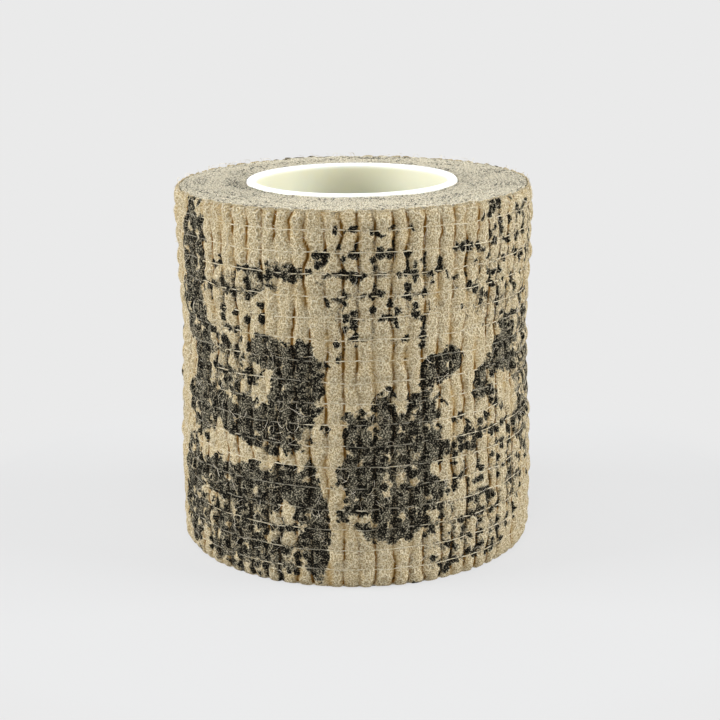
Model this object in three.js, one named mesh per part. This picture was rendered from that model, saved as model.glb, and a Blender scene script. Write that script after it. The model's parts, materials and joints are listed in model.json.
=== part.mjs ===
// A roll of cohesive elastic wrap: a puckered non-woven web wound on a short plastic core. Its free end peels.
// Millimetres. The roll stands on one end face, its axis along +Z, with the origin on the axis at that face.
// The web is a laminate of two plies with elastic yarns between them. They run along the web, so round the roll.
// The inner laps are pressed together by their own tack and act as one body. The last turn lies on them as a
// laminate of its own, and its last stretch is the tail, in two links that peel off the roll and curl back.
import * as THREE from "three";

// The core.
const CORE_BORE_RADIUS = 13.2;
const CORE_WALL = 1.25;
const CORE_STANDS_PROUD = 0.3;
const RIM_RADIUS = 0.4;

// The web and its laminate. The margin is from the web's edge to the middle of the yarn next to it.
const WEB_WIDTH = 50;
const BACK_PLY_THICKNESS = 0.25;
const FACE_PLY_THICKNESS = 0.25;
const YARN_THICKNESS = 0.2;
const YARN_WIDTH = 0.3;
const YARN_COUNT = 17;
const YARN_MARGIN = 2.6;

// The winding. The wound laps are pressed thinner than the loose last turn.
const WOUND_LAPS = 18;
const WOUND_LAP_THICKNESS = 0.5;
const LAYER_GAP = 0.05;

// Where the web ends and where its tail bends, in degrees round the roll from +X.
const SEAM_ANGLE = 114;
const TAIL_ROOT_ARC = 24;
const TAIL_TIP_ARC = 24;
const END_GAP = 0.1;

// Every round face has its corners at the same angles, so nested faces lie parallel.
const FACET = 6;
const FACETS_PER_TURN = 360 / FACET;
const CORNER_MARGIN = FACET / 4;
const RIM_FACETS = 3;

// Sizes that follow.
const coreOuterRadius = CORE_BORE_RADIUS + CORE_WALL;
const coreLength = WEB_WIDTH + CORE_STANDS_PROUD;
const woundBoreRadius = coreOuterRadius + LAYER_GAP;
const woundRadius = woundBoreRadius + WOUND_LAPS * WOUND_LAP_THICKNESS;
const backPlyOffset = LAYER_GAP;
const yarnOffset = backPlyOffset + BACK_PLY_THICKNESS + LAYER_GAP;
const facePlyOffset = yarnOffset + YARN_THICKNESS + LAYER_GAP;
const turnThickness = facePlyOffset + FACE_PLY_THICKNESS;
const lowestYarn = YARN_MARGIN - YARN_WIDTH / 2;
const yarnPitch = (WEB_WIDTH - 2 * YARN_MARGIN) / (YARN_COUNT - 1);
const endGapAngle = THREE.MathUtils.radToDeg(END_GAP / woundRadius);

// The last turn runs anticlockwise, seen from above, from the seam to the tip of the tail.
const turnStart = SEAM_ANGLE;
const tipEnd = turnStart + 360;
const tipStart = tipEnd - TAIL_TIP_ARC;
const rootStart = tipStart - TAIL_ROOT_ARC;

const materials = {
  core: new THREE.MeshStandardMaterial({ color: 0xf1efe2, roughness: 0.35, metalness: 0 }),
  web: new THREE.MeshStandardMaterial({ color: 0xbba988, roughness: 0.95, metalness: 0 }),
  yarn: new THREE.MeshStandardMaterial({ color: 0xe9e2d0, roughness: 0.7, metalness: 0 }),
};

// The point at an angle in degrees and a radius, in plan.
function polar(angle, radius) {
  const a = THREE.MathUtils.degToRad(angle);
  return new THREE.Vector2(radius * Math.cos(a), radius * Math.sin(a));
}

// The radius of the wound laps' outside. It grows by one turn's thickness from the seam round to the seam.
function woundSurface(angle) {
  return woundRadius + (turnThickness * (angle - turnStart)) / 360;
}

// The corner angles of a curved strip: its two ends, and each shared facet corner between them.
function cornerAngles(from, to) {
  const angles = [from];
  const first = Math.ceil((from + CORNER_MARGIN) / FACET) * FACET;
  for (let a = first; a < to - CORNER_MARGIN; a += FACET) {
    angles.push(a);
  }
  angles.push(to);
  return angles;
}

// A strip of the last turn: a band of the given thickness and width that follows the spiral.
function stripGeometry(from, to, offset, thickness, width) {
  const angles = cornerAngles(from + endGapAngle / 2, to - endGapAngle / 2);
  const inside = angles.map((a) => polar(a, woundSurface(a) + offset));
  const outside = angles.map((a) => polar(a, woundSurface(a) + offset + thickness));
  const outline = new THREE.Shape([...outside, ...inside.reverse()]);
  return new THREE.ExtrudeGeometry(outline, { depth: width, bevelEnabled: false });
}

// A quarter round of the core's rim, about a centre in the profile's plane, from one angle to the next.
function rimArc(radius, height, fromDegrees) {
  const points = [];
  for (let i = 0; i <= RIM_FACETS; i++) {
    const step = polar(fromDegrees + (90 * i) / RIM_FACETS, RIM_RADIUS);
    points.push(new THREE.Vector2(radius + step.x, height + step.y));
  }
  return points;
}

// The moulded core: a plain tube with rounded rims.
function coreGeometry() {
  const inner = CORE_BORE_RADIUS + RIM_RADIUS;
  const outer = coreOuterRadius - RIM_RADIUS;
  const low = RIM_RADIUS;
  const high = coreLength - RIM_RADIUS;
  const profile = [
    ...rimArc(outer, low, -90),
    ...rimArc(outer, high, 0),
    ...rimArc(inner, high, 90),
    ...rimArc(inner, low, 180),
  ];
  profile.push(profile[0].clone());
  return new THREE.LatheGeometry(profile, FACETS_PER_TURN).rotateX(Math.PI / 2);
}

// The wound laps: a thick ring round the core, with a step outside where the last turn leaves it.
function woundGeometry() {
  const outline = new THREE.Shape();
  const hole = new THREE.Path();
  const outside = [];
  const bore = [];
  for (let i = 0; i <= FACETS_PER_TURN; i++) {
    const a = turnStart + i * FACET;
    outside.push(polar(a, woundSurface(a)));
    bore.push(polar(a, woundBoreRadius));
  }
  outline.setFromPoints(outside);
  hole.setFromPoints(bore.slice(0, FACETS_PER_TURN));
  outline.holes.push(hole);
  return new THREE.ExtrudeGeometry(outline, { depth: WEB_WIDTH, bevelEnabled: false });
}

function named(name, geometry, material) {
  const mesh = new THREE.Mesh(geometry, material);
  mesh.name = name;
  return mesh;
}

// One stretch of the last turn: its back ply, its face ply and the yarns between them.
function laminate(prefix, from, to) {
  const group = new THREE.Group();
  const backPly = stripGeometry(from, to, backPlyOffset, BACK_PLY_THICKNESS, WEB_WIDTH);
  const facePly = stripGeometry(from, to, facePlyOffset, FACE_PLY_THICKNESS, WEB_WIDTH);
  const yarn = stripGeometry(from, to, yarnOffset, YARN_THICKNESS, YARN_WIDTH);
  group.add(named(`${prefix}_back_ply`, backPly, materials.web));
  group.add(named(`${prefix}_face_ply`, facePly, materials.web));
  for (let i = 0; i < YARN_COUNT; i++) {
    const number = String(i + 1).padStart(2, "0");
    const strand = named(`${prefix}_yarn_${number}`, yarn, materials.yarn);
    strand.position.z = lowestYarn + i * yarnPitch;
    group.add(strand);
  }
  return group;
}

const roll = new THREE.Group();
roll.add(named("core_tube", coreGeometry(), materials.core));
roll.add(named("wound_web", woundGeometry(), materials.web));
roll.add(laminate("outer_turn", turnStart, rootStart));

const tailRoot = laminate("tail_root", rootStart, tipStart);
tailRoot.add(laminate("tail_tip", tipStart, tipEnd));
roll.add(tailRoot);

export default roll;
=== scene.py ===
"""Dresses a roll of cohesive elastic wrap: its puckered web, elastic yarns, plastic core and loose fibres.

Lengths are in millimetres until a mesh is made, and angles are in degrees round the roll from +X towards +Y.
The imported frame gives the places: the joints lie on the web's face, so they say how the last turn winds.
"""

import json
import logging
import math
from dataclasses import dataclass
from enum import Enum

import bpy
import numpy as np
from mathutils import Matrix, Vector


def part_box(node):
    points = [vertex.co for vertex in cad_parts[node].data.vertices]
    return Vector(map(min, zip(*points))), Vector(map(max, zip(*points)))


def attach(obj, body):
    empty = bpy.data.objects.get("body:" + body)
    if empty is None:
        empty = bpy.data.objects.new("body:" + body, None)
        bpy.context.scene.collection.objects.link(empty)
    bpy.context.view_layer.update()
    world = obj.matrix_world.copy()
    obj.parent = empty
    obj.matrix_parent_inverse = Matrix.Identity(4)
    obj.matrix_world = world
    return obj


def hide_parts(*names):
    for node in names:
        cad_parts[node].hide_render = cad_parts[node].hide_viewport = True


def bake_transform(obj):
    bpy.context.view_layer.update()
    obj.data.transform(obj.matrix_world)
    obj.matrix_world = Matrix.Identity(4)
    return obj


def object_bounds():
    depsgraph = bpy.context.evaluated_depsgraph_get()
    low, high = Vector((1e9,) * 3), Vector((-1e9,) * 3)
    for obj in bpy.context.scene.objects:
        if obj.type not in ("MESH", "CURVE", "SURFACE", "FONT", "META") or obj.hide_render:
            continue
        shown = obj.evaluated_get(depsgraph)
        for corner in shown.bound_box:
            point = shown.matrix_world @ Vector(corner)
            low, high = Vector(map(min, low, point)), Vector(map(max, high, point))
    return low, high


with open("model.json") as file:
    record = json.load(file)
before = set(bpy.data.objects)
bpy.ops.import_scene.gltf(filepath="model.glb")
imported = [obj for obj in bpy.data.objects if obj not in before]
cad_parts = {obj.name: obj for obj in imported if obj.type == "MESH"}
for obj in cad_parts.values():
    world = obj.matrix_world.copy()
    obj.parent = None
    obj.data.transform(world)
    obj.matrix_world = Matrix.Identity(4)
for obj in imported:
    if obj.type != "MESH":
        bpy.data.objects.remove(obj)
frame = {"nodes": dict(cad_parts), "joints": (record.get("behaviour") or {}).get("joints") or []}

LOG = logging.getLogger("wrap_roll")
MM = 0.001
CAD_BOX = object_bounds()

Array = np.ndarray
Colour = tuple[float, float, float]


class Slot(Enum):
    """The record's material slots."""

    PLASTIC = "core_plastic"
    WEB = "printed_web"
    YARN = "elastic_yarn"


class Stretch(Enum):
    """The stretches of the last turn, named as their CAD nodes are."""

    TURN = "outer_turn"
    ROOT = "tail_root"
    TIP = "tail_tip"


# ---------------------------------------------------------------------------------------------- numbers


def smooth(t: Array) -> Array:
    """Eases from 0 to 1 as t does: 3 t squared less 2 t cubed, held outside that range."""
    t = np.clip(t, 0.0, 1.0)
    return t * t * (3.0 - 2.0 * t)


def eased(x: Array, knots: tuple[tuple[float, float], ...]) -> Array:
    """A curve that passes level through each knot and eases from one to the next.

    Args:
        x: where the curve is wanted.
        knots: pairs of place and value, in order of place.

    Returns:
        The value at each x.
    """
    places = np.array([k[0] for k in knots])
    values = np.array([k[1] for k in knots])
    i = np.clip(np.searchsorted(places, x) - 1, 0, len(places) - 2)
    t = smooth((x - places[i]) / (places[i + 1] - places[i]))
    return values[i] * (1.0 - t) + values[i + 1] * t


class ValueNoise:
    """A smooth random field over a plane, from -1 to 1, one random value to each unit square's corner."""

    SIDE = 256

    def __init__(self, seed: int) -> None:
        """Draws the corners' values from one seed."""
        self.table = np.random.default_rng(seed).uniform(-1.0, 1.0, (self.SIDE, self.SIDE))

    def __call__(self, x: Array, y: Array) -> Array:
        """The corners' values eased across each square.

        Args:
            x, y: the places.

        Returns:
            The field there.
        """
        x, y = np.broadcast_arrays(x, y)
        i, j = np.floor(x).astype(int), np.floor(y).astype(int)
        s, t = smooth(x - i), smooth(y - j)
        i, j, i1, j1 = i % self.SIDE, j % self.SIDE, (i + 1) % self.SIDE, (j + 1) % self.SIDE
        low = self.table[i, j] * (1 - s) + self.table[i1, j] * s
        high = self.table[i, j1] * (1 - s) + self.table[i1, j1] * s
        return low * (1 - t) + high * t


def round_roll(angle: Array, radius: Array, height: Array) -> Array:
    """Points on circles about the axis: x is the radius times the angle's cosine, y times its sine.

    Args:
        angle, radius, height: where they are, in degrees and millimetres, in shapes that match.

    Returns:
        Rows of x, y and z in millimetres.
    """
    a = np.radians(angle)
    a, radius, height = np.broadcast_arrays(a, radius, height)
    return np.stack([radius * np.cos(a), radius * np.sin(a), height], axis=-1)


# ------------------------------------------------------------------------------------------------ meshes


@dataclass
class Loft:
    """A closed profile carried along a path: a grid of points with one row for each profile point.

    Attributes:
        points: columns by rows by 3, in millimetres. The rows close on themselves.
        weave: columns by rows + 1 by 2, the map that patterns follow, in millimetres. Where the columns close
            too, it has one column more, and its last row repeats the first profile point's far side.
        closed: whether the last column joins the first. If not, a flat cap closes each end.
        bands: how many strips the bake map folds the path into.
        squeeze: for each row, how wide its faces lie in the bake map, as a share of their true width.
        fields: values from 0 to 1 for the materials, each columns by rows.
    """

    # The bake map's layout: the gap between two bands as a share of the girth, the room left past the bands,
    # and the two strips there that hold the caps.
    GUTTER = 0.02
    EDGE_SPARE = 1.01
    CAP_SPARE = 1.06
    CAP_STRIPS = (0.96, 0.98)
    CAP_WIDTH = 0.015
    CAP_HEIGHT = 0.9
    LEAST = 0.002

    points: Array
    weave: Array
    closed: bool
    bands: int
    squeeze: Array
    fields: dict[str, Array]

    def corners(self) -> tuple[Array, Array]:
        """The grid places of each face's four corners.

        Returns:
            The columns and the rows, past the last one where the grid closes.
        """
        columns, rows = self.points.shape[:2]
        i, j = np.meshgrid(np.arange(columns if self.closed else columns - 1), np.arange(rows), indexing="ij")
        i, j = i.ravel(), j.ravel()
        return np.stack([i, i + 1, i + 1, i], axis=1), np.stack([j, j, j + 1, j + 1], axis=1)

    def bake_map(self, i: Array, j: Array) -> Array:
        """The bake map of the corners: the path unrolled against the profile's girth, folded into bands.

        Args:
            i: the column of each face's corners.
            j: the row of each face's corners.

        Returns:
            Faces by corners by 2, inside the unit square with no overlap.
        """
        columns, rows = self.points.shape[:2]
        middle = self.points[:, rows // 4]
        if self.closed:
            middle = np.concatenate([middle, middle[:1]])
        step = np.linalg.norm(np.diff(middle, axis=0), axis=1)
        along = np.concatenate([[0.0], np.cumsum(step)])
        across = np.linalg.norm(np.roll(self.points[0], -1, axis=0) - self.points[0], axis=1) * self.squeeze
        girth = np.concatenate([[0.0], np.cumsum(across)])
        per_band = math.ceil((columns if self.closed else columns - 1) / self.bands)
        band = i[:, :1] // per_band
        starts = along[np.minimum(np.arange(self.bands) * per_band, len(along) - 1)]
        u = along[i] - starts[band]
        v = girth[j] + band * girth[-1] * (1.0 + self.GUTTER)
        side = max(u.max() * self.CAP_SPARE, v.max() * self.EDGE_SPARE)
        return np.stack([u, v], axis=-1) / side

    def mesh(self, name: str) -> bpy.types.Object:
        """Makes the object, with its faces pointing out.

        Args:
            name: the piece's name.

        Returns:
            The new object, linked to the scene, smooth-shaded.
        """
        columns, rows = self.points.shape[:2]
        i, j = self.corners()
        faces = (i % columns) * rows + j % rows
        maps = {"weave": self.weave[i, j], "OFBake": self.bake_map(i, j)}
        flat = self.points.reshape(-1, 3) * MM
        a, b, c, d = (flat[faces[:, k]] for k in range(4))
        volume = np.einsum("ij,ij->", a, np.cross(b, c)) + np.einsum("ij,ij->", a, np.cross(c, d))
        turn = slice(None, None, 1 if volume > 0 else -1)
        faces = faces[:, turn]
        loops, starts = faces.ravel(), np.arange(len(faces)) * 4
        caps = []
        if not self.closed:
            caps = [np.arange(rows)[turn], (np.arange(rows) + (columns - 1) * rows)[::-1][turn]]
            caps = [cap[::-1] for cap in caps]
            starts = np.append(starts, [len(loops), len(loops) + rows])
            loops = np.concatenate([loops, *caps])
        data = bpy.data.meshes.new(name)
        data.vertices.add(len(flat))
        data.vertices.foreach_set("co", flat.astype(np.float32).ravel())
        data.loops.add(len(loops))
        data.loops.foreach_set("vertex_index", loops.astype(np.int32))
        data.polygons.add(len(starts))
        data.polygons.foreach_set("loop_start", starts.astype(np.int32))
        for key, places in maps.items():
            values = places[:, turn].reshape(-1, 2)
            for cap in caps:
                values = np.concatenate([values, self.cap_map(cap, key)])
            data.uv_layers.new(name=key).data.foreach_set("uv", values.astype(np.float32).ravel())
        data.uv_layers.active = data.uv_layers["weave"]
        for key, values in self.fields.items():
            layer = data.attributes.new(key, "FLOAT", "POINT")
            layer.data.foreach_set("value", values.astype(np.float32).ravel())
        data.update(calc_edges=True)
        data.polygons.foreach_set("use_smooth", np.ones(len(starts), bool))
        made = bpy.data.objects.new(name, data)
        bpy.context.scene.collection.objects.link(made)
        return made

    def cap_map(self, cap: Array, key: str) -> Array:
        """The map of one end cap: its own plane on the weave map, or a spare strip of the bake map.

        Args:
            cap: the cap's points, by number.
            key: which map it is.

        Returns:
            Points by 2.
        """
        rows = self.points.shape[1]
        points = self.points.reshape(-1, 3)[cap]
        out = np.hypot(points[:, 0], points[:, 1])
        if key == "weave":
            return np.stack([out, points[:, 2]], axis=-1)
        left = self.CAP_STRIPS[int(cap.min() >= rows)]
        across = (out - out.min()) / max(np.ptp(out), self.LEAST) * self.CAP_WIDTH
        up = (points[:, 2] - points[:, 2].min()) / max(np.ptp(points[:, 2]), self.LEAST) * self.CAP_HEIGHT
        return np.stack([left + across, up + self.LEAST], axis=-1)


def tube(path: Array, radius: Array, sides: int) -> Array:
    """A round profile carried along a path that runs round the roll.

    Each point is the path's point, plus a radius times the cosine of the profile's angle outwards, plus the
    radius times its sine upwards.

    Args:
        path: points by 3, in millimetres.
        radius: the tube's radius at each point.
        sides: the profile's corners.

    Returns:
        Points by sides by 3.
    """
    out = path * [1.0, 1.0, 0.0]
    out /= np.linalg.norm(out, axis=1, keepdims=True)
    turn = np.linspace(0.0, 2.0 * np.pi, sides, endpoint=False)[None, :, None]
    ring = np.cos(turn) * out[:, None, :] + np.sin(turn) * np.array([0.0, 0.0, 1.0])
    return path[:, None, :] + ring * radius[:, None, None]


# ----------------------------------------------------------------------------------------------- shaders


class Graph:
    """Adds nodes to one node tree, from left to right, and links them."""

    def __init__(self, tree: bpy.types.NodeTree) -> None:
        """Starts on an empty tree."""
        self.tree = tree
        self.count = 0

    def add(
        self, kind: str, inputs: dict[str | int, object] | None = None, **settings: object
    ) -> bpy.types.Node:
        """Adds a node.

        Args:
            kind: the node's type, less its ShaderNode prefix.
            inputs: a value or an output socket for each input, by name or number.
            **settings: the node's own properties.

        Returns:
            The node.
        """
        node = self.tree.nodes.new(f"ShaderNode{kind}")
        node.location = (220 * (self.count % 12), -260 * (self.count // 12))
        self.count += 1
        for key, value in settings.items():
            setattr(node, key, value)
        for key, value in (inputs or {}).items():
            if isinstance(value, bpy.types.NodeSocket):
                self.tree.links.new(value, node.inputs[key])
            else:
                node.inputs[key].default_value = value
        return node

    def math(self, operation: str, *values: object, clamp: bool = False) -> bpy.types.NodeSocket:
        """The result of one Math node on up to three values or sockets."""
        node = self.add("Math", dict(enumerate(values)), operation=operation, use_clamp=clamp)
        return node.outputs[0]

    def blend(self, share: object, first: object, second: object) -> bpy.types.NodeSocket:
        """A colour between two others.

        Args:
            share: how much of the second there is.
            first, second: colours or sockets.

        Returns:
            The blend's socket.
        """
        node = self.add("Mix", data_type="RGBA")
        for socket, value in zip((node.inputs[0], node.inputs[6], node.inputs[7]), (share, first, second)):
            if isinstance(value, bpy.types.NodeSocket):
                self.tree.links.new(value, socket)
            else:
                socket.default_value = (*value, 1.0) if isinstance(value, tuple) else value
        return node.outputs[2]

    def between(self, value: object, low: float, high: float) -> bpy.types.NodeSocket:
        """A step with soft ends.

        Args:
            value: what is measured.
            low, high: where the result is 0 and where it is 1. Low may be the greater.

        Returns:
            The step's socket.
        """
        node = self.add(
            "MapRange",
            {"Value": value, "From Min": low, "From Max": high},
            interpolation_type="SMOOTHSTEP",
        )
        return node.outputs[0]

    def scaled(self, vector: bpy.types.NodeSocket, scale: tuple[float, float, float]) -> bpy.types.NodeSocket:
        """A vector times another, axis by axis."""
        return self.add("VectorMath", {0: vector, 1: scale}, operation="MULTIPLY").outputs[0]

    def noise(
        self,
        place: bpy.types.NodeSocket,
        scale: float,
        detail: float,
        roughness: float = 0.5,
        space: str = "2D",
    ) -> bpy.types.Node:
        """A noise texture.

        Args:
            place: where it is read.
            scale: how many waves a unit of the place holds.
            detail: how many finer layers it has.
            roughness: how strong those are.
            space: 2D over a plane, or 3D.

        Returns:
            The node.
        """
        inputs = {"Vector": place, "Scale": scale, "Detail": detail, "Roughness": roughness}
        return self.add("TexNoise", inputs, noise_dimensions=space)

    def cells(
        self, place: bpy.types.NodeSocket, scale: float, randomness: float, feature: str = "F1"
    ) -> bpy.types.Node:
        """A lattice of cells over a plane, each about a point that chance has moved.

        Args:
            place: where it is read.
            scale: how many cells a unit of the place holds.
            randomness: how far the points are moved.
            feature: what the distance is measured to.

        Returns:
            The node.
        """
        inputs = {"Vector": place, "Scale": scale, "Randomness": randomness}
        return self.add("TexVoronoi", inputs, voronoi_dimensions="2D", feature=feature)

    def swayed(
        self, place: bpy.types.NodeSocket, scale: float, detail: float, reach: float
    ) -> bpy.types.NodeSocket:
        """A place moved about its plane by a noise.

        Args:
            place: the place.
            scale, detail: the noise's own.
            reach: how far it moves, both ways.

        Returns:
            The moved place.
        """
        sway = self.noise(place, scale, detail).outputs["Color"]
        inputs = {0: sway, 1: (reach, reach, 0.0), 2: place}
        return self.add("VectorMath", inputs, operation="MULTIPLY_ADD").outputs[0]

    def placed(self, tree: bpy.types.NodeTree, inputs: dict[str, object]) -> bpy.types.Node:
        """A shared group, placed with its own inputs."""
        return self.add("Group", inputs, node_tree=tree)

    def weave(self) -> bpy.types.NodeSocket:
        """The place on a piece's weave map, in millimetres."""
        return self.add("UVMap", uv_map="weave").outputs[0]

    def field(self, name: str) -> bpy.types.NodeSocket:
        """One of a piece's own fields, by name."""
        return self.add("Attribute", attribute_name=name).outputs["Fac"]

    def dress(
        self,
        shader: bpy.types.Node,
        colour: bpy.types.NodeSocket,
        height: bpy.types.NodeSocket,
        strength: float,
        depth: float,
    ) -> None:
        """Gives a shader its colour and its fine relief.

        Args:
            shader: the shader.
            colour: its base colour.
            height: the relief, from 0 to about 1.
            strength: how much of the relief is used.
            depth: how high a relief of 1 stands, in millimetres.
        """
        self.tree.links.new(colour, shader.inputs["Base Color"])
        bump = self.add("Bump", {"Height": height, "Strength": strength, "Distance": depth * MM})
        self.tree.links.new(bump.outputs[0], shader.inputs["Normal"])


def group(
    name: str, inputs: dict[str, str], outputs: dict[str, str]
) -> tuple[bpy.types.NodeTree, Graph, dict, dict]:
    """Starts a shader node group.

    Args:
        name: the group's name.
        inputs: the kind of each input socket, by name.
        outputs: the kind of each output socket, by name.

    Returns:
        The tree, its graph, its inputs' sockets by name, and its outputs' sockets by name.
    """
    tree = bpy.data.node_groups.new(name, "ShaderNodeTree")
    for key, kind in inputs.items():
        tree.interface.new_socket(name=key, in_out="INPUT", socket_type=f"NodeSocket{kind}")
    for key, kind in outputs.items():
        tree.interface.new_socket(name=key, in_out="OUTPUT", socket_type=f"NodeSocket{kind}")
    start = tree.nodes.new("NodeGroupInput")
    end = tree.nodes.new("NodeGroupOutput")
    end.location = (2800, 0)
    return tree, Graph(tree), {k: start.outputs[k] for k in inputs}, {k: end.inputs[k] for k in outputs}


def felt_group() -> bpy.types.NodeTree:
    """Matted fibres: a net of pale strands over finer ones, with grain, on a map in millimetres.

    Returns:
        The group, which puts out the strands, the grain and the height of both.
    """
    tree, graph, given, wanted = group(
        "matted_fibres",
        {"Map": "Vector", "Size": "Float"},
        {"Strands": "Float", "Grain": "Float", "Height": "Float"},
    )
    place = graph.add("VectorMath", {0: given["Map"], "Scale": given["Size"]}, operation="SCALE").outputs[0]
    bent = graph.swayed(place, scale=1.1, detail=2.0, reach=0.7)
    nets = []
    for scale, width in ((2.1, 0.10), (4.3, 0.14)):
        net = graph.cells(bent, scale, randomness=1.0, feature="DISTANCE_TO_EDGE")
        edge = graph.between(net.outputs["Distance"], 0.0, width)
        nets.append(graph.math("SUBTRACT", 1.0, edge))
    strands = graph.math("MAXIMUM", nets[0], graph.math("MULTIPLY", nets[1], 0.6))
    grain = graph.noise(place, scale=4.6, detail=2.0, roughness=0.7).outputs[0]
    height = graph.math("MULTIPLY_ADD", strands, 0.45, graph.math("MULTIPLY", grain, 0.6))
    for key, socket in (("Strands", strands), ("Grain", grain), ("Height", height)):
        tree.links.new(socket, wanted[key])
    return tree


def bond_group() -> bpy.types.NodeTree:
    """The spots where the two plies are pressed together: small ovals with a dull floor and a pale rim.

    Returns:
        The group, which puts out the floors and the rims.
    """
    tree, graph, given, wanted = group("pressed_spots", {"Map": "Vector"}, {"Floor": "Float", "Rim": "Float"})
    oval = graph.scaled(given["Map"], (1.0, 0.86, 1.0))
    cells = graph.cells(oval, scale=0.80, randomness=0.80)
    rough = graph.noise(given["Map"], scale=2.4, detail=1.0).outputs[0]
    reach = graph.math("SUBTRACT", cells.outputs["Distance"], 0.11)
    reach = graph.math("MULTIPLY_ADD", rough, 0.22, reach)
    floor = graph.math("SUBTRACT", 1.0, graph.between(reach, 0.12, 0.32))
    ring = graph.math("ABSOLUTE", graph.math("SUBTRACT", reach, 0.34))
    rim = graph.math("SUBTRACT", 1.0, graph.between(ring, 0.0, 0.09))
    tree.links.new(floor, wanted["Floor"])
    tree.links.new(rim, wanted["Rim"])
    return tree


def ink_group() -> bpy.types.NodeTree:
    """Ink that takes in specks, more of them with more coverage, and in a wash between where it is dense.

    Each cell of a loose lattice holds a speck if its luck is below the coverage. A looser lattice says which
    spots the wash leaves bare. The group puts out where there is any ink, and where it has pooled into a
    black spot. Both favour the web's hollows.

    Returns:
        The group.
    """
    tree, graph, given, wanted = group(
        "speckled_ink",
        {"Map": "Vector", "Coverage": "Float", "Hollow": "Float"},
        {"Ink": "Float", "Pool": "Float"},
    )
    cover, hollow = given["Coverage"], given["Hollow"]
    bent = graph.swayed(given["Map"], scale=1.3, detail=3.0, reach=1.0)
    ragged = graph.noise(given["Map"], scale=2.6, detail=2.0, roughness=0.7).outputs[0]
    wobble = graph.math("MULTIPLY_ADD", ragged, 1.0, -0.5)
    specks, gaps = (graph.cells(bent, scale, randomness=0.85) for scale in (0.86, 0.55))
    luck, chance = graph.add("SeparateColor", {0: specks.outputs["Color"]}).outputs[:2]
    spared = graph.add("SeparateColor", {0: gaps.outputs["Color"]}).outputs[0]
    odds = graph.math("MULTIPLY_ADD", hollow, 0.22, -0.11)
    odds = graph.math("MULTIPLY", odds, graph.between(cover, 0.0, 0.3))
    odds = graph.math("ADD", graph.math("MULTIPLY", cover, 1.06), odds)
    taken = graph.between(graph.math("SUBTRACT", odds, luck), 0.0, 0.10)
    size = graph.math("MULTIPLY_ADD", chance, 0.16, graph.math("MULTIPLY_ADD", hollow, 0.25, 0.18))
    reach = graph.math("MULTIPLY_ADD", wobble, 0.45, specks.outputs["Distance"])
    spot = graph.math("SUBTRACT", size, reach)
    pool = graph.math("MULTIPLY", graph.between(spot, -0.03, 0.05), taken)
    halo = graph.math("MULTIPLY", graph.between(spot, -0.22, -0.02), taken)
    wash = graph.math("MULTIPLY_ADD", hollow, 0.30, graph.math("MULTIPLY_ADD", wobble, 0.7, cover))
    near = graph.between(gaps.outputs["Distance"], 0.46, 0.22)
    bare = graph.math("MULTIPLY", graph.between(spared, 0.56, 0.66), near)
    wash = graph.math("MULTIPLY_ADD", bare, -0.66, wash)
    wash = graph.between(wash, 0.54, 0.84)
    some = graph.between(cover, 0.02, 0.08)
    ink = graph.math("MULTIPLY", graph.math("MAXIMUM", halo, wash), some)
    tree.links.new(ink, wanted["Ink"])
    tree.links.new(graph.math("MULTIPLY", pool, some), wanted["Pool"])
    return tree


@dataclass(frozen=True)
class Finish:
    """What one material's shader sets all over its surface.

    Attributes:
        name: the material's name.
        roughness: how dull it is.
        shine: how strongly it mirrors.
        glow: how much light goes through its skin and comes out beside.
        reach: how far that light goes, in millimetres.
    """

    name: str
    roughness: float
    shine: float = 0.5
    glow: float = 0.0
    reach: float = 1.0

    def start(self) -> tuple[bpy.types.Material, Graph, bpy.types.Node]:
        """Starts the material, with every constant set.

        Returns:
            The material, its graph and its shader.
        """
        material = bpy.data.materials.new(self.name)
        material.use_nodes = True
        tree = material.node_tree
        tree.nodes.clear()
        graph = Graph(tree)
        shader = graph.add(
            "BsdfPrincipled",
            {
                "Roughness": self.roughness,
                "Specular IOR Level": self.shine,
                "Subsurface Weight": self.glow,
                "Subsurface Scale": self.reach * MM,
                "Subsurface Radius": (1.0, 0.75, 0.45),
            },
        )
        shader.location = (2900, 0)
        out = graph.add("OutputMaterial", {"Surface": shader.outputs[0]})
        out.location = (3200, 0)
        return material, graph, shader


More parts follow.
